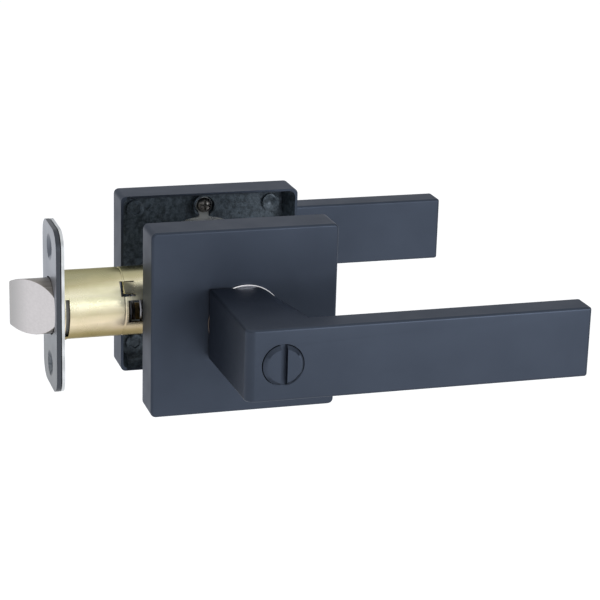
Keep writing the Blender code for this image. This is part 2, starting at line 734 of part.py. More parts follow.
def neck_outlines():
    """The neck's two sections, point for point: half round at the rose, square at the blade."""
    facet = 6
    side = 14
    start = math.asin(NECK_HALF_HEIGHT / NECK_RADIUS)
    flat_end = NECK_RADIUS * math.cos(start)
    half = LEVER_HEIGHT / 2
    rose_end = [(-NECK_RADIUS, NECK_HALF_HEIGHT)] + arc(NECK_RADIUS, start, NECK_FACET_ANGLE, facet)
    rose_end += arc(NECK_RADIUS, NECK_FACET_ANGLE, -NECK_FACET_ANGLE, side)[1:-1]
    rose_end += arc(NECK_RADIUS, -NECK_FACET_ANGLE, -start, facet)
    rose_end.append((-NECK_RADIUS, -NECK_HALF_HEIGHT))
    run = [flat_end + (NECK_BLADE_SIDE - flat_end) * i / facet for i in range(facet + 1)]
    rise = [half - LEVER_HEIGHT * i / side for i in range(side + 1)]
    blade_end = [(-LEVER_START, half)] + [(x, half) for x in run]
    blade_end += [(NECK_BLADE_SIDE, y) for y in rise[1:-1]]
    blade_end += [(x, -half) for x in reversed(run)] + [(-LEVER_START, -half)]
    return rose_end, blade_end, facet, side


def lever_form(name, parent):
    """The neck is a loft between its two sections; the blade runs on from its square end."""
    rose_end, blade_end, facet, side = neck_outlines()
    half = LEVER_HEIGHT / 2
    bm = bmesh.new()
    low = [bm.verts.new((x, y, NECK_BASE)) for x, y in rose_end]
    high = [bm.verts.new((x, y, LEVER_BACK)) for x, y in blade_end]
    end_back = [bm.verts.new((LEVER_END, y, LEVER_BACK)) for y in (half, -half)]
    corners = ((-LEVER_START, half), (LEVER_END, half), (LEVER_END, -half), (-LEVER_START, -half))
    front = [bm.verts.new((x, y, LEVER_FACE)) for x, y in corners]
    count = len(low)
    for i in range(count):
        j = (i + 1) % count
        bm.faces.new((low[i], low[j], high[j], high[i]))
    bm.faces.new(low)
    top = facet + 1
    bottom = top + side
    bm.faces.new(high[: top + 1] + [end_back[0], front[1], front[0]])
    bm.faces.new(high[top : bottom + 1] + [end_back[1], end_back[0]])
    bm.faces.new(high[bottom:] + [front[3], front[2], end_back[1]])
    bm.faces.new((end_back[0], end_back[1], front[2], front[1]))
    bm.faces.new(front)
    bm.faces.new((high[0], high[-1], front[3], front[0]))
    bmesh.ops.recalc_face_normals(bm, faces=bm.faces)
    soften_lever(bm)
    return from_bmesh(name, bm, parent, finish=BLACK)


def soften_lever(bm):
    """Rounds the blade's near end with a large radius, then its other outer edges with a small one."""
    near = [e for e in flat_edges(bm, 0, -LEVER_START) if min(v.co.z for v in e.verts) > LEVER_FACE - 1e-6]
    bevel_edges(bm, near, LEVER_SOFT_EDGE, 6)
    sharp = []
    for edge in bm.edges:
        if len(edge.link_faces) != 2 or not edge.is_convex:
            continue
        if edge.calc_face_angle() < math.radians(50):
            continue
        middle = (edge.verts[0].co + edge.verts[1].co) / 2
        on_socket_end = max(v.co.z for v in edge.verts) < NECK_BASE + 1e-6
        on_facet = middle.x > 0 and middle.z < LEVER_BACK - 1e-6
        if not on_socket_end and not on_facet:
            sharp.append(edge)
    bevel_edges(bm, sharp, LEVER_EDGE, 3)


def lever(side, parent, down):
    """A lever with its socket and, in the neck's underside, its screw hole. down is the underside's sign."""
    name = f"{side}_lever"
    body = lever_form(name, parent)
    cut(body, cylinder(f"{name}_socket", HUB_STUB_RADIUS + CLEARANCE, NECK_BASE - CLEARANCE, SOCKET_TOP, parent,
                       sides=40))
    inside = HUB_STUB_RADIUS - SET_SCREW_SUNK
    hole = cylinder(f"{name}_screw_hole", SET_SCREW_RADIUS + CLEARANCE, 0.0,
                    max(NECK_HALF_HEIGHT, LEVER_HEIGHT / 2) - inside + CLEARANCE, parent,
                    (0, down * inside, SET_SCREW_PLACE), sides=16)
    hole.rotation_euler = (-down * math.pi / 2, 0, 0)
    cut(body, hole)
    return body


def lever_set_screw(side, parent, down):
    """A hexagon-socket grub screw in the underside of the neck."""
    name = f"{side}_lever_set_screw"
    start = HUB_STUB_RADIUS + CLEARANCE
    end = NECK_HALF_HEIGHT - SET_SCREW_SUNK
    at = (0, 0, SET_SCREW_PLACE)
    body = cylinder(name, SET_SCREW_RADIUS, start, end, parent, at, SPRING_STEEL, sides=16)
    body.rotation_euler = (-down * math.pi / 2, 0, 0)
    socket = cylinder(f"{name}_hex", SET_SCREW_SOCKET_RADIUS, end - SET_SCREW_SOCKET_DEPTH, end + CLEARANCE,
                      parent, at, sides=6)
    socket.rotation_euler = (-down * math.pi / 2, 0, 0)
    cut(body, socket)


def front_lever():
    body = lever("front", FRONT, -1)
    cut(body, cylinder("front_lever_button_recess", BUTTON_RADIUS + CLEARANCE, BUTTON_SEAT - CLEARANCE,
                       LEVER_FACE + CLEARANCE, FRONT, sides=40))
    cut(body, cylinder("front_lever_shaft_bore", BUTTON_SHAFT_RADIUS + CLEARANCE, SOCKET_TOP - CLEARANCE,
                       BUTTON_SEAT, FRONT, sides=24))


def rear_lever():
    body = lever("rear", REAR, 1)
    cut(body, cylinder("rear_lever_release_hole", RELEASE_HOLE_RADIUS, SOCKET_TOP - CLEARANCE,
                       LEVER_FACE + CLEARANCE, REAR, sides=24))


# Privacy lock


def turn_button():
    """The slotted round button in the front lever's face, and its shaft."""
    edge = BUTTON_RADIUS - BUTTON_CHAMFER
    low = CLIP_GROOVE - SHEET - 2 * CLEARANCE
    neck = BUTTON_SHAFT_RADIUS - BUTTON_CLIP_GROOVE
    profile = [
        (0.0, BUTTON_TOP),
        (edge, BUTTON_TOP),
        (BUTTON_RADIUS, BUTTON_TOP - BUTTON_CHAMFER),
        (BUTTON_RADIUS, BUTTON_SEAT),
        (BUTTON_SHAFT_RADIUS, BUTTON_SEAT),
        (BUTTON_SHAFT_RADIUS, CLIP_GROOVE),
        (neck, CLIP_GROOVE),
        (neck, low),
        (BUTTON_SHAFT_RADIUS, low),
        (BUTTON_SHAFT_RADIUS, SHAFT_END),
        (0.0, SHAFT_END),
    ]
    body = turned("turn_button", profile, FRONT, BLACK, sides=40)
    half = BUTTON_SLOT_WIDTH / 2
    long = BUTTON_RADIUS + CLEARANCE
    cut(body, box("turn_button_slot", (-half, -long, BUTTON_TOP - BUTTON_SLOT_DEPTH),
                  (half, long, BUTTON_TOP + CLEARANCE), FRONT))
    thick = LOCK_BAR_THICKNESS / 2 + CLEARANCE
    wide = BUTTON_SHAFT_RADIUS + CLEARANCE
    cut(body, box("turn_button_bar_slot", (-thick, -wide, SHAFT_END - CLEARANCE),
                  (thick, wide, SHAFT_END + LOCK_BAR_GRIP + CLEARANCE), FRONT))


def lock_cam():
    """The two-lobed cam on the button's shaft."""
    outline = arc(LOCK_CAM_LOBE, -math.pi / 2, math.pi / 2, 10, (LOCK_CAM_REACH - LOCK_CAM_LOBE, 0.0))
    outline += [(-x, -y) for x, y in outline]
    low = RING_TOP + HUB_STUB_LENGTH + 2 * CLEARANCE
    hole = circle(BUTTON_SHAFT_RADIUS + CLEARANCE, 20)
    sheet("lock_cam", [outline, hole], low, low + LOCK_CAM_THICKNESS, FRONT, finish=ZINC)


def privacy_lock():
    turn_button()
    lock_cam()
    top = CLIP_GROOVE - CLEARANCE
    inner = BUTTON_SHAFT_RADIUS - BUTTON_CLIP_GROOVE + CLEARANCE
    c_ring("button_retaining_clip", inner, inner + BUTTON_CLIP_WIDTH, BUTTON_CLIP_GAP, top - SHEET, top, FRONT,
           SPRING_STEEL)
    thick = LOCK_BAR_THICKNESS / 2
    wide = LOCK_BAR_WIDTH / 2
    box("lock_bar", (-thick, -wide, -SPINDLE_REAR + LOCK_BAR_INSET), (thick, wide, SHAFT_END + LOCK_BAR_GRIP),
        FRONT, finish=SPRING_STEEL)


def spindle():
    half = SPINDLE_SIDE / 2
    body = box("spindle", (-half, -half, -SPINDLE_REAR), (half, half, SPINDLE_FRONT), FRONT, finish=ZINC)
    cut(body, cylinder("spindle_bore", SPINDLE_BORE_RADIUS, -SPINDLE_REAR - CLEARANCE,
                       SPINDLE_FRONT + CLEARANCE, FRONT, sides=24))


# Fasteners of the trims


def cross_recess(body, name, radius, low, high, parent, at):
    """Cuts a cross into a screw's head, between two heights."""
    narrow = radius / 6
    wide = 2 * radius / 3
    for index, (a, b) in enumerate(((wide, narrow), (narrow, wide))):
        cut(body, box(f"{name}_cross_{index}", (-a, -b, low), (a, b, high), parent, at))


def through_bolt(name, side):
    """A long screw from the front trim into the rear trim's post."""
    under = FRONT_FLANGE + SHEET + CLEARANCE
    top = under + BOLT_HEAD_HEIGHT
    end = -BOLT_PAST_MIDDLE
    profile = [
        (0.0, top),
        (BOLT_HEAD_RADIUS - BOLT_HEAD_EDGE, top),
        (BOLT_HEAD_RADIUS, top - BOLT_HEAD_EDGE),
        (BOLT_HEAD_RADIUS, under),
        (BOLT_SHANK_RADIUS, under),
        (BOLT_SHANK_RADIUS, end + BOLT_POINT),
        (0.0, end),
    ]
    at = (side * POST_SPREAD, 0, 0)
    body = turned(name, profile, FRONT, ZINC, at, sides=18)
    cross_recess(body, name, BOLT_HEAD_RADIUS, top - CROSS_DEPTH, top + CLEARANCE, FRONT, at)


def threaded_post(name, side):
    """A long nut fixed to the rear trim, which the through bolt screws into."""
    shoulder = REAR_FLANGE - CLEARANCE
    top = REAR_FLANGE + SHEET
    end = -POST_PAST_MIDDLE
    bore = BOLT_SHANK_RADIUS + CLEARANCE
    profile = [
        (0.0, top),
        (POST_STUB_RADIUS, top),
        (POST_STUB_RADIUS, shoulder),
        (POST_RADIUS, shoulder),
        (POST_RADIUS, end + POST_END_CHAMFER),
        (POST_RADIUS - POST_END_CHAMFER, end),
        (bore, end),
        (bore, end + POST_BORE_DEPTH),
        (0.0, end + POST_BORE_DEPTH + THREAD_POINT),
    ]
    turned(name, profile, REAR, ZINC, (side * POST_SPREAD, 0, 0), sides=18)


def plate_screw(name, end):
    """A round-head screw that holds the rear spring housing to its rose."""
    under = REAR_FLANGE - CLEARANCE
    radius = PLATE_SCREW_HEAD_RADIUS
    dome = arc(1.0, 0.0, math.pi / 2, 5)
    tip = FLOOR + PLATE_SCREW_BITE
    profile = [(0.0, tip), (PLATE_SCREW_RADIUS, tip - CLEARANCE), (PLATE_SCREW_RADIUS, under)]
    profile += [(radius * across, under - PLATE_SCREW_HEAD_HEIGHT * up) for across, up in dome[:-1]]
    profile.append((0.0, under - PLATE_SCREW_HEAD_HEIGHT))
    at = (0, end * ROSE_SCREW_OFFSET, 0)
    body = turned(name, profile, REAR, BRONZE, at, sides=24)
    top = under - PLATE_SCREW_HEAD_HEIGHT
    cross_recess(body, name, radius, top - CLEARANCE, top + CROSS_DEPTH, REAR, at)


def cover_clip(name, end):
    """A bent strip on the front housing's ear that grips the rose from inside."""
    foot = FRONT_FLANGE - CLEARANCE
    edge = ROSE_SCREW_OFFSET + EAR_RADIUS + CLEARANCE
    outline = [
        (edge - CLIP_FOOT, foot - CLIP_STRIP),
        (edge + CLIP_STRIP, foot - CLIP_STRIP),
        (edge + CLIP_STRIP, FRONT_FLANGE + CLIP_RISE),
        (edge, FRONT_FLANGE + CLIP_RISE),
        (edge, foot),
        (edge - CLIP_FOOT, foot),
    ]
    clip = sheet(name, [outline], -CLIP_HALF_WIDTH, CLIP_HALF_WIDTH, FRONT, finish=SPRING_STEEL)
    clip.matrix_local = Matrix(((0, 0, end, 0), (end, 0, 0, 0), (0, 1, 0, 0), (0, 0, 0, 1)))


def trim(side, parent, flange, turn, screwed):
    """One side's rose, with the spring cartridge and hub that every lever needs."""
    rose(side, parent, screwed)
    spring_housing(side, parent, flange)
    bearing_ring(side, parent, flange)
    drive_hub(side, parent, flange)
    spring_cam(side, parent, flange, turn)
    retaining_ring(side, parent, flange)
    return_spring(side, parent, flange)
    lever_set_screw(side, parent, -turn)


# Tubular latch, in a frame whose X is the world's Y, Y the world's Z and Z the world's X


def plate_outlines():
    holes = [d_shape(BOLT_RADIUS + PLATE_BOLT_GAP, BOLT_FLAT + PLATE_BOLT_GAP)]
    for end in (1, -1):
        holes.append(circle(PLATE_HOLE_RADIUS, 24, (0.0, end * PLATE_HOLE_SPACING / 2)))
    return [rounded_rectangle(PLATE_WIDTH, PLATE_HEIGHT, PLATE_CORNER)] + holes


def latch_plates():
    """The dark faceplate with its countersunk screw holes, and the zinc plate behind it."""
    face = sheet("latch_faceplate", plate_outlines(), PLATE_FRONT, PLATE_BACK, LATCH, finish=DARK_NICKEL)
    for index, end in enumerate((1, -1)):
        cut(face, cylinder(f"countersink_{index}", COUNTERSINK_RADIUS, PLATE_FRONT - CLEARANCE / 2,
                           PLATE_BACK - CLEARANCE, LATCH, (0, end * PLATE_HOLE_SPACING / 2, 0),
                           top_radius=PLATE_HOLE_RADIUS - CLEARANCE, sides=32))
    sheet("latch_backplate", plate_outlines(), BACKPLATE_FRONT, BACKPLATE_FRONT + BACKPLATE_THICKNESS,
          LATCH, finish=ZINC)


def latch_tube():
    """The tube with a collar, a step groove, two side windows, a lanced tab and a notch at its mouth."""
    step = TUBE_REAR - WINDOW_LENGTH - TUBE_GROOVE_GAP
    collar = TUBE_RADIUS + TUBE_COLLAR_STEP
    groove = TUBE_RADIUS - TUBE_GROOVE_DEPTH
    profile = [
        (TUBE_RADIUS, TUBE_REAR),
        (TUBE_RADIUS, step + TUBE_GROOVE_WIDTH),
        (groove, step + 2 * TUBE_GROOVE_WIDTH / 3),
        (groove, step),
        (TUBE_RADIUS, step - TUBE_GROOVE_WIDTH / 3),
        (TUBE_RADIUS, TUBE_FRONT + TUBE_COLLAR_LENGTH),
        (collar, TUBE_FRONT + TUBE_COLLAR_LENGTH - TUBE_COLLAR_STEP),
        (collar, TUBE_FRONT),
        (TUBE_BORE, TUBE_FRONT),
        (TUBE_BORE, TUBE_REAR),
    ]
    body = turned("latch_tube", [(r, -h) for r, h in reversed(profile)], LATCH, YELLOW_ZINC, ring=True,
                  sides=40)
    body.rotation_euler = (0, math.pi, 0)
    wide = TUBE_RADIUS + TUBE_COLLAR_STEP + CLEARANCE
    cut(body, box("tube_windows", (-wide, -WINDOW_BOTTOM, TUBE_REAR - WINDOW_LENGTH),
                  (wide, WINDOW_TOP, TUBE_REAR + CLEARANCE), LATCH))
    start = TUBE_FRONT + MOUTH_NOTCH_GAP
    cut(body, box("tube_notch", (-wide, -MOUTH_NOTCH_BOTTOM, start),
                  (0.0, MOUTH_NOTCH_TOP, start + MOUTH_NOTCH_WIDTH), LATCH))
    lanced_tab(body)


def lanced_tab(body):
    """A small window in the tube's near upper side, with its flap bent outwards."""
    start = TUBE_REAR - WINDOW_LENGTH - TAB_OVERLAP
    end = start + TAB_LENGTH
    deep = 2 * TUBE_WALL
    window = box("tab_window", (TUBE_RADIUS - deep, -TAB_HALF_WIDTH, start),
                 (TUBE_RADIUS + deep, TAB_HALF_WIDTH, end), LATCH)
    window.rotation_euler = (0, 0, TAB_ANGLE)
    cut(body, window)
    half = TAB_HALF_WIDTH - TAB_GAP
    flap = box("tab_flap", (-TUBE_WALL / 2, -half, TAB_GAP - TAB_LENGTH), (TUBE_WALL / 2, half, TAB_GAP), LATCH)
    out = TUBE_RADIUS - TUBE_WALL / 2
    seat = (out * math.cos(TAB_ANGLE), out * math.sin(TAB_ANGLE), end)
    turn = Matrix.Rotation(TAB_ANGLE, 4, "Z") @ Matrix.Rotation(-TAB_TILT, 4, "Y")
    flap.matrix_local = Matrix.Translation(seat) @ turn
    join(body, flap)


def latch_bolt():
    """The bevelled bolt: a bar with one flat, and a flange that the spring pushes on."""
    body = sheet("latch_bolt", [d_shape(BOLT_RADIUS, BOLT_FLAT)], BOLT_TIP, BOLT_REAR, LATCH, finish=NICKEL)
    tip = Vector((BOLT_FLAT - BOLT_TIP_LAND, BOLT_TIP))
    heel = Vector((-math.sqrt(BOLT_RADIUS ** 2 - BOLT_HEEL_HALF ** 2), PLATE_FRONT))
    run = tip - heel
    past = BOLT_RADIUS - BOLT_FLAT
    wedge = box("bolt_bevel", (0.0, -2 * BOLT_RADIUS, 0.0), (2 * BOLT_RADIUS, 2 * BOLT_RADIUS,
                                                            run.length + 2 * past), LATCH)
    start = heel - run.normalized() * past
    turn = Matrix.Rotation(math.atan2(run.x, run.y), 4, "Y")
    wedge.matrix_local = Matrix.Translation((start.x, 0, start.y)) @ turn
    cut(body, wedge)
    rounding = body.modifiers.new("edges", "BEVEL")
    rounding.width = BOLT_EDGE
    rounding.segments = 3
    rounding.limit_method = "ANGLE"
    rounding.angle_limit = math.radians(40)
    join(body, cylinder("bolt_flange", INSIDE_TUBE, BOLT_REAR - CLEARANCE / 2, FLANGE_REAR, LATCH, sides=40))
    thick = YOKE_THICKNESS / 2 + CLEARANCE
    tall = YOKE_STEM_HALF + CLEARANCE
    cut(body, box("bolt_yoke_slot", (-thick, -tall, BOLT_REAR - YOKE_STEM_LENGTH - CLEARANCE),
                  (thick, tall, FLANGE_REAR + CLEARANCE), LATCH))


def bolt_guide():
    outlines = [circle(INSIDE_TUBE, 40), d_shape(BOLT_RADIUS + CLEARANCE, BOLT_FLAT + CLEARANCE)]
    sheet("bolt_guide", outlines, GUIDE_FRONT, GUIDE_REAR, LATCH, finish=NYLON)


def draw_yoke():
    """The flat fork behind the bolt, whose arms pass above and below the post and the latch hub."""
    shoulder = FLANGE_REAR + CLEARANCE
    root = BOLT_REAR - YOKE_STEM_LENGTH
    fork = shoulder + YOKE_BRIDGE
    tail = YOKE_PAST_HUB - LATCH_HUB_RADIUS
    half = [
        (root, YOKE_STEM_HALF),
        (shoulder, YOKE_STEM_HALF),
        (shoulder, YOKE_OUTER),
        (tail, YOKE_OUTER),
        (tail, YOKE_INNER),
        (fork, YOKE_INNER),
    ]
    outline = half + [(x, -z) for x, z in reversed(half)]
    thick = YOKE_THICKNESS / 2
    sheet("draw_yoke", [outline], -thick, thick, FRONT, finish=ZINC)


def latch_frame():
    """The disc that the spring rests on, and the two cheeks that the hub turns in."""
    body = cylinder("latch_frame", INSIDE_TUBE, FRAME_FRONT - FRAME_DISC, FRAME_FRONT + FRAME_OVERLAP, LATCH,
                    finish=YELLOW_ZINC, sides=40)
    slot = YOKE_THICKNESS / 2 + YOKE_GAP
    reach = YOKE_OUTER + YOKE_GAP
    cut(body, box("frame_slot", (-slot, -reach, FRAME_FRONT - FRAME_DISC - CLEARANCE),
                  (slot, reach, FRAME_FRONT + FRAME_DISC), LATCH))
    tall = FRAME_HALF_HEIGHT
    outline = [(FRAME_FRONT, -tall), (FRAME_REAR, -tall), (FRAME_REAR, tall), (FRAME_FRONT, tall)]
    post_hole = circle(POST_RADIUS + POST_GAP, COARSE, (-POST_SPREAD, 0.0))
    holes = [circle(LATCH_HUB_RADIUS + CLEARANCE, 40), post_hole]
    for index, side in enumerate((1, -1)):
        rows = sorted((side * FRAME_GAP / 2, side * (FRAME_GAP / 2 + FRAME_SHEET)))
        join(body, sheet(f"frame_cheek_{index}", [outline] + holes, rows[0], rows[1], FRONT))
    inside = FRAME_GAP / 2 + FRAME_SHEET / 2
    end = FRAME_REAR - FRAME_OVERLAP
    join(body, box("frame_web", (end - FRAME_SHEET, -inside, CLEARANCE - tall), (end, inside, tall - CLEARANCE),
                   None))


def latch_hub():
    """The barrel on the spindle, with the fingers that draw the yoke."""
    long = FRAME_GAP / 2 + FRAME_SHEET + LATCH_HUB_PROUD
    body = cylinder("latch_hub", LATCH_HUB_RADIUS, -long, long, FRONT, finish=ZINC, sides=40)
    low = YOKE_THICKNESS / 2 + CLEARANCE
    half = FINGER_WIDTH / 2
    reach = YOKE_OUTER
    for index, side in enumerate((1, -1)):
        rows = sorted((side * low, side * (low + FINGER_THICKNESS)))
        join(body, box(f"hub_finger_{index}", (-half, -reach, rows[0]), (half, reach, rows[1]), FRONT))
    half = BORE_SIDE / 2
    cut(body, box("hub_bore", (-half, -half, -long - CLEARANCE), (half, half, long + CLEARANCE), FRONT))


def latch_spring():
    """The compression spring between the bolt's flange and the frame's disc."""
    start = FLANGE_REAR + CLEARANCE + LATCH_WIRE
    end = FRAME_FRONT - FRAME_DISC - CLEARANCE - LATCH_WIRE
    radius = INSIDE_TUBE - LATCH_WIRE - LATCH_SPRING_GAP
    per_turn = 12
    steps = LATCH_TURNS * per_turn
    points = []
    for i in range(steps + 1):
        angle = 2 * math.pi * i / per_turn
        points.append((radius * math.cos(angle), radius * math.sin(angle), start + (end - start) * i / steps))
    wire("latch_spring", points, LATCH_WIRE, LATCH, SPRING_STEEL)


def build():
    trim("front", FRONT, FRONT_FLANGE, 1, False)
    trim("rear", REAR, REAR_FLANGE, -1, True)
    front_lever()
    rear_lever()
    privacy_lock()
    spindle()
    for word, side in (("left", -1), ("right", 1)):
        through_bolt(f"through_bolt_{word}", side)
        threaded_post(f"threaded_post_{word}", side)
    for word, end in (("top", 1), ("bottom", -1)):
        plate_screw(f"rear_plate_screw_{word}", -end)
        cover_clip(f"cover_clip_{word}", end)
    latch_plates()
    latch_tube()
    latch_bolt()
    bolt_guide()
    draw_yoke()
    latch_frame()
    latch_hub()
    latch_spring()


build()
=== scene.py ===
"""The looks of the door lever set: fine pieces, materials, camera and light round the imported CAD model."""

import json
import math

import bmesh
import bpy
from mathutils import Matrix, Vector


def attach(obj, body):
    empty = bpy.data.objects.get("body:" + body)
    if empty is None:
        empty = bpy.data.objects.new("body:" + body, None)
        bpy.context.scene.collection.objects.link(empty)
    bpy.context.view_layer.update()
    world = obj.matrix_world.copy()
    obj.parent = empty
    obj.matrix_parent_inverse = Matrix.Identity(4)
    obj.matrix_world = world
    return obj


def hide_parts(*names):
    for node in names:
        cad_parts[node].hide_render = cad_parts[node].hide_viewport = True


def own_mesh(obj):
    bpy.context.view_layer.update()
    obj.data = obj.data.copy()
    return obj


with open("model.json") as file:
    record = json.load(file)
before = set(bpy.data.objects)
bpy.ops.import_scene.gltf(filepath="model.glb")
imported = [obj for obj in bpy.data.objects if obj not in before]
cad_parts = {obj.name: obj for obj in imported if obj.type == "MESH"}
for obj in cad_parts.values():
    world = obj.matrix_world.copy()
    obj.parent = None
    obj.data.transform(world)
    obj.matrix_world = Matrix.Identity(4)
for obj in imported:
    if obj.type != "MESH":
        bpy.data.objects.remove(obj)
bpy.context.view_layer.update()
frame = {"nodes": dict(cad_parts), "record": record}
nodes = frame["nodes"]

# Camera and floor: metres and radians, sensor and lens in millimetres
CAMERA_PLACE = Vector((-0.1721, -0.6400, 0.2086))
CAMERA_YAW = 0.3038
CAMERA_PITCH = -0.3069
CAMERA_ROLL = 0.0289
CAMERA_NEAR = 0.01
SENSOR = 36.0
FOCAL_LENGTH = 119.8
FLOOR_HEIGHT = -0.25
FLOOR_HALF = 60.0
FLOOR_CELLS = 8

# Fine pieces: how near points are welded, which faces count as flat and which edges as smooth
WELD_DISTANCE = 0.000002
FLAT_ANGLE = math.radians(0.5)
SMOOTH_ANGLE = math.radians(35)

# Nodes that are treated on their own
ROSES = ("front_rosette", "rear_rosette")
RINGS = ("front_bearing_ring", "rear_bearing_ring")
LATCH_SPRING = "latch_spring"

# Where a finish or a painted shade changes, in metres. A rose: the depths of its rim and floor, and half its
# inner width.
ROSE_RIM = 0.0178
ROSE_FLOOR = 0.0279
ROSE_INNER = 0.0305
# Painted shade on the bolt and ring along X and on the faceplate along Z, each from its dark end to where
# the full colour begins
BOLT_TIP = (-0.0735, -0.0665)
RING_SHADE_SPAN = (-0.012, -0.004)
PLATE_FOOT = (-0.029, 0.012)
# The tube's radius, over which painted shade at its foot and top and a painted highlight across its middle
# run in bands
TUBE_RADIUS = 0.0118

# Heights of the fine relief, in metres
COAT_GRAIN = 0.000006
CAST_PITS = 0.00010
CAST_CELLS = 0.00005
BOLT_LINES = 0.000004
PLATE_LINES = 0.000006
ZINC_LINES = 0.000010
STEEL_GRAIN = 0.00001
PLASTIC_GRAIN = 0.00002

# Parts of a noise's range that are spread over the whole of a mix
NOISE_SPAN = (0.3, 0.7)
WIDE_SPAN = (0.25, 0.75)

# Light: colours of the room at the horizon and overhead, and the floor's own glow
WORLD_HORIZON = (0.52, 0.54, 0.57)
WORLD_ZENITH = (1.0, 1.0, 1.0)
FLOOR_GLOW = 0.3

# Black coat: its colour where darkest and lightest, and its tint at grazing angles
BLACK_LOW = (0.043, 0.053, 0.073)
BLACK_HIGH = (0.048, 0.059, 0.081)
BLACK_EDGE = (0.86, 0.87, 0.90, 1.0)

# Plated steel: the shade of its dark spangle, and how far its roughness strays to either side
SPANGLE_SHADE = 0.72
SMOOTHER = 0.07
ROUGHER = 0.09


# Node helpers


class Shader:
    """A material under construction: short calls that add nodes and link them."""

    def __init__(self, name):
        self.material = bpy.data.materials.new(name)
        self.material.use_nodes = True
        self.tree = self.material.node_tree
        self.surface = self.tree.nodes["Principled BSDF"]
        self.place = self.node("ShaderNodeTexCoord").outputs["Object"]

    def node(self, kind, **settings):
        made = self.tree.nodes.new(kind)
        for key, value in settings.items():
            setattr(made, key, value)
        return made

    def link(self, source, target):
        self.tree.links.new(source, target)

    def set(self, **values):
        for key, value in values.items():
            self.surface.inputs[key.replace("_", " ")].default_value = value

    def feed(self, socket, name):
        self.link(socket, self.surface.inputs[name])

    def noise(self, scale, detail=4.0, roughness=0.5, stretch=None):
        made = self.node("ShaderNodeTexNoise")
        made.inputs["Scale"].default_value = scale
        made.inputs["Detail"].default_value = detail
        made.inputs["Roughness"].default_value = roughness
        self.link(self.stretched(stretch), made.inputs["Vector"])
        return made.outputs["Fac"]

    def cells(self, scale):
        made = self.node("ShaderNodeTexVoronoi")
        made.inputs["Scale"].default_value = scale
        self.link(self.place, made.inputs["Vector"])
        return made.outputs["Distance"]

    def stretched(self, stretch):
        if stretch is None:
            return self.place
        mapping = self.node("ShaderNodeMapping")
        mapping.inputs["Scale"].default_value = stretch
        self.link(self.place, mapping.inputs["Vector"])
        return mapping.outputs["Vector"]

    def remap(self, value, low, high, to_low=0.0, to_high=1.0, smooth=True):
        made = self.node("ShaderNodeMapRange", clamp=True)
        made.interpolation_type = "SMOOTHSTEP" if smooth else "LINEAR"
        made.inputs["From Min"].default_value = low
        made.inputs["From Max"].default_value = high
        made.inputs["To Min"].default_value = to_low
        made.inputs["To Max"].default_value = to_high
        self.link(value, made.inputs["Value"])
        return made.outputs["Result"]

    def mix(self, factor, first, second):
        made = self.node("ShaderNodeMix", data_type="RGBA")
        self.link(factor, made.inputs["Factor"])
        for socket, value in ((made.inputs["A"], first), (made.inputs["B"], second)):
            if isinstance(value, tuple):
                socket.default_value = (*value, 1.0)
            else:
                self.link(value, socket)
        return made.outputs["Result"]

    def multiply(self, first, second):
        made = self.node("ShaderNodeMix", data_type="RGBA", blend_type="MULTIPLY")
        made.inputs["Factor"].default_value = 1.0
        self.link(first, made.inputs["A"])
        self.link(second, made.inputs["B"])
        return made.outputs["Result"]

    def ramp(self, value, stops):
        made = self.node("ShaderNodeValToRGB")
        band = made.color_ramp
        while len(band.elements) < len(stops):
            band.elements.new(0.5)
        for element, (position, color) in zip(band.elements, stops):
            element.position = position
            element.color = (*color, 1.0)
        self.link(value, made.inputs["Fac"])
        return made.outputs["Color"]

    def math(self, operation, first, second=None):
        made = self.node("ShaderNodeMath", operation=operation)
        for socket, value in zip(made.inputs, (first, second)):
            if value is None:
                continue
            if isinstance(value, (int, float)):
                socket.default_value = value
            else:
                self.link(value, socket)
        return made.outputs["Value"]

    def axis(self, name):
        made = self.node("ShaderNodeSeparateXYZ")
        self.link(self.place, made.inputs["Vector"])
        return made.outputs[name]

    def facing(self, name):
        """How far the surface faces along one axis, either way."""
        place = self.node("ShaderNodeTexCoord").outputs["Normal"]
        made = self.node("ShaderNodeSeparateXYZ")
        self.link(place, made.inputs["Vector"])
        return self.math("ABSOLUTE", made.outputs[name])

    def bump(self, height, distance, strength=1.0, normal=None):
        made = self.node("ShaderNodeBump")
        made.inputs["Strength"].default_value = strength
        made.inputs["Distance"].default_value = distance
        self.link(height, made.inputs["Height"])
        if normal is not None:
            self.link(normal, made.inputs["Normal"])
        return made.outputs["Normal"]

    def gloss(self, scale, detail, low, high, span=NOISE_SPAN):
        """Lets the roughness wander between low and high."""
        self.feed(self.remap(self.noise(scale, detail), *span, low, high), "Roughness")


# Materials


def satin_black():
    """Satin black with a cool cast, faint clouds and a tiny grain: its colour is that of its soft gloss."""
    made = Shader("satin_black_coat")
    cloud = made.remap(made.noise(38.0, 3.0), *NOISE_SPAN)
    made.feed(made.mix(cloud, BLACK_LOW, BLACK_HIGH), "Base Color")
    made.gloss(95.0, 5.0, 0.42, 0.49, WIDE_SPAN)
    made.feed(made.bump(made.noise(3200.0, 2.0), COAT_GRAIN), "Normal")
    made.set(Metallic=1.0, Specular_Tint=BLACK_EDGE)
    return made.material


def cast_black():
    """The unpolished inside of a rose: grainy die-cast skin with flow marks."""
    made = Shader("cast_black")
    cloud = made.remap(made.noise(700.0, 6.0, 0.7), 0.36, 0.66)
    made.feed(made.mix(cloud, (0.008, 0.012, 0.016), (0.066, 0.086, 0.108)), "Base Color")
    made.gloss(400.0, 4.0, 0.30, 0.5)
    pits = made.bump(made.noise(900.0, 6.0, 0.65), CAST_PITS)
    made.feed(made.bump(made.cells(700.0), CAST_CELLS, 0.6, pits), "Normal")
    made.set(Metallic=0.0, IOR=1.6, Specular_Tint=(0.75, 0.88, 1.0, 1.0))
    return made.material


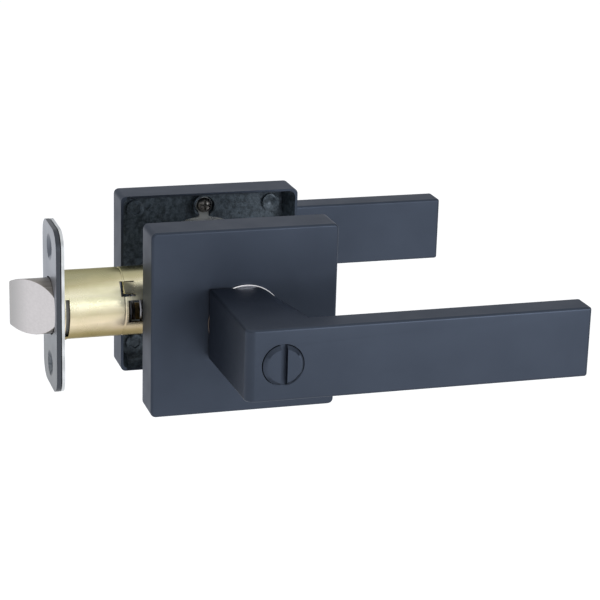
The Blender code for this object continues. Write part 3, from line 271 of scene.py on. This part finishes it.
def satin_nickel():
    """Nickel with fine brush lines, made greyer by painted shade on its crowned top and foot and towards the
    bolt's point.
    """
    made = Shader("satin_nickel_brushed")
    lines = made.noise(1400.0, 4.0, 0.6, (0.08, 1.0, 1.0))
    face = made.mix(made.remap(lines, *WIDE_SPAN), (0.570, 0.548, 0.552), (0.625, 0.600, 0.606))
    # Painted shade: darker towards the bolt's point
    tip_shade = made.remap(made.axis("X"), *BOLT_TIP)
    face = made.mix(tip_shade, (0.400, 0.395, 0.395), face)
    # Painted shade: a darker copy of the nickel for the faces that look up or down
    shaded_top = made.mix(made.remap(lines, *WIDE_SPAN), (0.240, 0.220, 0.200), (0.340, 0.315, 0.290))
    made.feed(made.mix(made.remap(made.facing("Z"), 0.15, 0.45), face, shaded_top), "Base Color")
    made.gloss(60.0, 3.0, 0.27, 0.34)
    made.feed(made.bump(lines, BOLT_LINES), "Normal")
    made.set(Metallic=1.0)
    return made.material


def ring_nickel():
    """Bright nickel of the bearing rings, with dark brown painted shade along the part away from the lever.
    """
    made = Shader("ring_nickel")
    lines = made.noise(1400.0, 4.0, 0.6)
    bright = made.mix(made.remap(lines, *WIDE_SPAN), (0.78, 0.77, 0.78), (0.90, 0.89, 0.90))
    # Painted shade: dark brown towards minus X, away from the lever
    painted_shade = made.remap(made.axis("X"), *RING_SHADE_SPAN)
    made.feed(made.mix(painted_shade, (0.070, 0.056, 0.050), bright), "Base Color")
    made.gloss(60.0, 3.0, 0.20, 0.28)
    made.set(Metallic=1.0)
    return made.material


def dark_nickel():
    """The faceplate: blue-grey nickel, with painted shade that darkens it towards its foot and makes its
    edges and countersinks near-black.
    """
    made = Shader("dark_nickel_plate")
    lines = made.noise(900.0, 4.0, 0.6, (1.0, 1.0, 0.06))
    tone = made.mix(made.remap(lines, *WIDE_SPAN), (0.195, 0.215, 0.255), (0.240, 0.262, 0.308))
    # Painted shade: darker towards the faceplate's foot
    foot = made.remap(made.axis("Z"), *PLATE_FOOT)
    face = made.mix(foot, (0.085, 0.100, 0.116), tone)
    # Painted shade: near-black on every face that doesn't look straight along X, such as edges and
    # countersinks
    made.feed(made.mix(made.remap(made.facing("X"), 0.80, 0.97), (0.060, 0.066, 0.076), face), "Base Color")
    made.gloss(60.0, 3.0, 0.32, 0.40)
    made.feed(made.bump(lines, PLATE_LINES), "Normal")
    made.set(Metallic=1.0)
    return made.material


def yellow_zinc():
    """Yellow passivated zinc: straw gold that drifts to green and rose, with painted light in bands from
    foot to top: painted shade at its foot and near its top, a painted highlight across its middle.
    """
    made = Shader("yellow_zinc_plate")
    drift = made.noise(30.0, 4.0, 0.55, (0.5, 1.0, 1.0))
    tint = made.ramp(drift, [
        (0.28, (0.76, 0.75, 0.48)),
        (0.40, (0.88, 0.84, 0.62)),
        (0.50, (0.95, 0.89, 0.74)),
        (0.60, (0.96, 0.84, 0.76)),
        (0.72, (0.84, 0.85, 0.62)),
    ])
    lines = made.noise(500.0, 3.0, 0.5, (0.05, 1.0, 1.0))
    skin = made.mix(made.remap(lines, 0.35, 0.75, 0.0, 0.25), tint, (0.96, 0.91, 0.80))
    # Painted light: a band by height, dark at the foot and near the top as painted shade, brightest across
    # the middle as a painted highlight
    height = made.remap(made.axis("Z"), -TUBE_RADIUS, TUBE_RADIUS, smooth=False)
    wobble = made.math("ADD", height, made.remap(made.noise(45.0, 3.0), *NOISE_SPAN, -0.04, 0.04))
    band = made.ramp(wobble, [
        (0.04, (0.14, 0.12, 0.07)),
        (0.16, (0.34, 0.30, 0.19)),
        (0.34, (0.78, 0.71, 0.62)),
        (0.48, (0.62, 0.58, 0.49)),
        (0.56, (0.78, 0.75, 0.68)),
        (0.66, (1.05, 1.04, 1.00)),
        (0.80, (1.05, 1.04, 1.00)),
        (0.91, (0.54, 0.52, 0.41)),
        (0.98, (0.42, 0.42, 0.34)),
    ])
    made.feed(made.multiply(skin, band), "Base Color")
    made.gloss(70.0, 4.0, 0.20, 0.32)
    made.feed(made.bump(lines, ZINC_LINES), "Normal")
    made.set(Metallic=1.0, Specular_Tint=(0.75, 0.70, 0.55, 1.0))
    return made.material


def plated_steel(name, color, rough):
    """Zinc or plain steel with spangle, a fine grain and uneven gloss."""
    made = Shader(name)
    spangle = made.cells(160.0)
    dark = tuple(part * SPANGLE_SHADE for part in color)
    made.feed(made.mix(made.remap(spangle, 0.1, 0.8), dark, color), "Base Color")
    made.gloss(220.0, 4.0, rough - SMOOTHER, rough + ROUGHER)
    made.feed(made.bump(made.noise(1400.0, 3.0), STEEL_GRAIN), "Normal")
    made.set(Metallic=1.0)
    return made.material


def moulded_plastic():
    """The bolt guide's grey nylon, matt and lightly textured."""
    made = Shader("grey_nylon_moulding")
    made.feed(made.mix(made.noise(200.0), (0.10, 0.10, 0.10), (0.16, 0.16, 0.155)), "Base Color")
    made.gloss(600.0, 4.0, 0.45, 0.6)
    made.feed(made.bump(made.noise(1800.0), PLASTIC_GRAIN), "Normal")
    return made.material


def pale_floor():
    """The studio floor, with a faint glow that keeps it as pale as the room."""
    made = Shader("pale_floor")
    made.feed(made.mix(made.noise(6.0), (0.86, 0.86, 0.87), (0.90, 0.90, 0.90)), "Base Color")
    made.set(Roughness=0.8, Emission_Color=(1.0, 1.0, 1.0, 1.0), Emission_Strength=FLOOR_GLOW)
    return made.material


FINISHES = {
    "satin_black": satin_black(),
    "dark_nickel": dark_nickel(),
    "satin_nickel": satin_nickel(),
    "yellow_zinc": yellow_zinc(),
    "bright_zinc": plated_steel("bright_zinc_plate", (0.66, 0.68, 0.69), 0.32),
    "spring_steel": plated_steel("oiled_spring_steel", (0.30, 0.30, 0.32), 0.30),
    "dark_bronze": plated_steel("dark_bronze_plate", (0.19, 0.18, 0.17), 0.30),
    "grey_nylon": moulded_plastic(),
}
CAST = cast_black()
RING = ring_nickel()
SLOTS = {row["node"]: row["material_slot"] for row in frame["record"]["subparts"]}
BODIES = {node: body for body, members in frame["record"]["behaviour"]["bodies"].items() for node in members}


# Pieces


def finish_piece(piece, node, material=None):
    """Gives a piece its material and its body, and hides the CAD node that it stands for."""
    piece.data.materials.clear()
    piece.data.materials.append(material or FINISHES[SLOTS[node]])
    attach(piece, BODIES[node])
    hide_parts(node)
    return piece


def soft_copy(node):
    """A copy of a CAD node with its points welded, its flat faces merged and its round faces smooth."""
    mesh = nodes[node].data.copy()
    mesh.name = node + "_fine"
    bm = bmesh.new()
    bm.from_mesh(mesh)
    bmesh.ops.remove_doubles(bm, verts=bm.verts, dist=WELD_DISTANCE)
    bmesh.ops.dissolve_limit(bm, angle_limit=FLAT_ANGLE, verts=bm.verts, edges=bm.edges)
    bm.to_mesh(mesh)
    bm.free()
    piece = bpy.data.objects.new(node + "_fine", mesh)
    bpy.context.scene.collection.objects.link(piece)
    mesh.shade_smooth()
    mesh.set_sharp_from_angle(angle=SMOOTH_ANGLE)
    weighted = piece.modifiers.new("weighted", "WEIGHTED_NORMAL")
    weighted.keep_sharp = True
    return piece


def raw_inside(piece):
    """Puts the unpolished casting skin on the inner faces of a rose."""
    piece.data.materials.append(CAST)
    for face in piece.data.polygons:
        place = face.center
        reach = max(abs(place.x), abs(place.z))
        outer = reach > ROSE_INNER and face.normal.x * place.x + face.normal.z * place.z > 0
        if ROSE_RIM < abs(place.y) < ROSE_FLOOR and not outer:
            face.material_index = 1


for node in sorted(nodes):
    piece = finish_piece(soft_copy(node), node, RING if node in RINGS else None)
    if node in ROSES:
        raw_inside(piece)
    if node == LATCH_SPRING:
        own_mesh(piece)


# Stage, light and camera


def floor():
    """A wide floor well below the set, so that no shadow of it reaches the picture."""
    bm = bmesh.new()
    bmesh.ops.create_grid(bm, x_segments=FLOOR_CELLS, y_segments=FLOOR_CELLS, size=FLOOR_HALF)
    mesh = bpy.data.meshes.new("studio_floor")
    bm.to_mesh(mesh)
    bm.free()
    piece = bpy.data.objects.new("studio_floor", mesh)
    piece.location = (0, 0, FLOOR_HEIGHT)
    piece.data.materials.append(pale_floor())
    bpy.context.scene.collection.objects.link(piece)


def studio_world():
    """A soft room, brightest overhead and dimmer towards the horizon."""
    world = bpy.data.worlds.new("studio")
    world.use_nodes = True
    tree = world.node_tree
    place = tree.nodes.new("ShaderNodeTexCoord")
    parts = tree.nodes.new("ShaderNodeSeparateXYZ")
    tree.links.new(place.outputs["Generated"], parts.inputs["Vector"])
    level = tree.nodes.new("ShaderNodeMix")
    level.data_type = "RGBA"
    tree.links.new(parts.outputs["Z"], level.inputs["Factor"])
    level.inputs["A"].default_value = (*WORLD_HORIZON, 1.0)
    level.inputs["B"].default_value = (*WORLD_ZENITH, 1.0)
    tree.links.new(level.outputs["Result"], tree.nodes["Background"].inputs["Color"])
    bpy.context.scene.world = world


def area_light(name, place, target, size, power, color=(1.0, 1.0, 1.0)):
    """A rectangular lamp at one place that faces another; power in watts."""
    data = bpy.data.lights.new(name, "AREA")
    data.shape = "RECTANGLE"
    data.size = size[0]
    data.size_y = size[1]
    data.energy = power
    data.color = color
    lamp = bpy.data.objects.new(name, data)
    lamp.location = place
    aim = Vector(target) - Vector(place)
    lamp.rotation_euler = aim.to_track_quat("-Z", "Y").to_euler()
    bpy.context.scene.collection.objects.link(lamp)


def camera():
    """The photo's camera: it looks along +Y, turned by its yaw, then its pitch, then its roll."""
    data = bpy.data.cameras.new("camera")
    data.sensor_width = SENSOR
    data.lens = FOCAL_LENGTH
    data.clip_start = CAMERA_NEAR
    forward = Vector((math.sin(CAMERA_YAW) * math.cos(CAMERA_PITCH),
                      math.cos(CAMERA_YAW) * math.cos(CAMERA_PITCH), math.sin(CAMERA_PITCH)))
    level = Vector((math.cos(CAMERA_YAW), -math.sin(CAMERA_YAW), 0.0))
    up = level.cross(forward)
    cosine = math.cos(CAMERA_ROLL)
    sine = math.sin(CAMERA_ROLL)
    right = cosine * level + sine * up
    top = cosine * up - sine * level
    turn = Matrix((right, top, -forward)).transposed()
    piece = bpy.data.objects.new("camera", data)
    piece.matrix_world = Matrix.Translation(CAMERA_PLACE) @ turn.to_4x4()
    bpy.context.scene.collection.objects.link(piece)
    bpy.context.scene.camera = piece


floor()
studio_world()
area_light("key", place=(-0.3, -0.7, 1.2), target=(0.02, 0, 0), size=(0.9, 0.9), power=0.35)
area_light("fill", place=(0.25, -0.50, 0.08), target=(0.03, -0.03, 0.01), size=(0.25, 0.20), power=1.05,
           color=(0.97, 0.98, 1.0))
camera()
bpy.context.scene.view_settings.view_transform = "Standard"

bpy.context.view_layer.update()
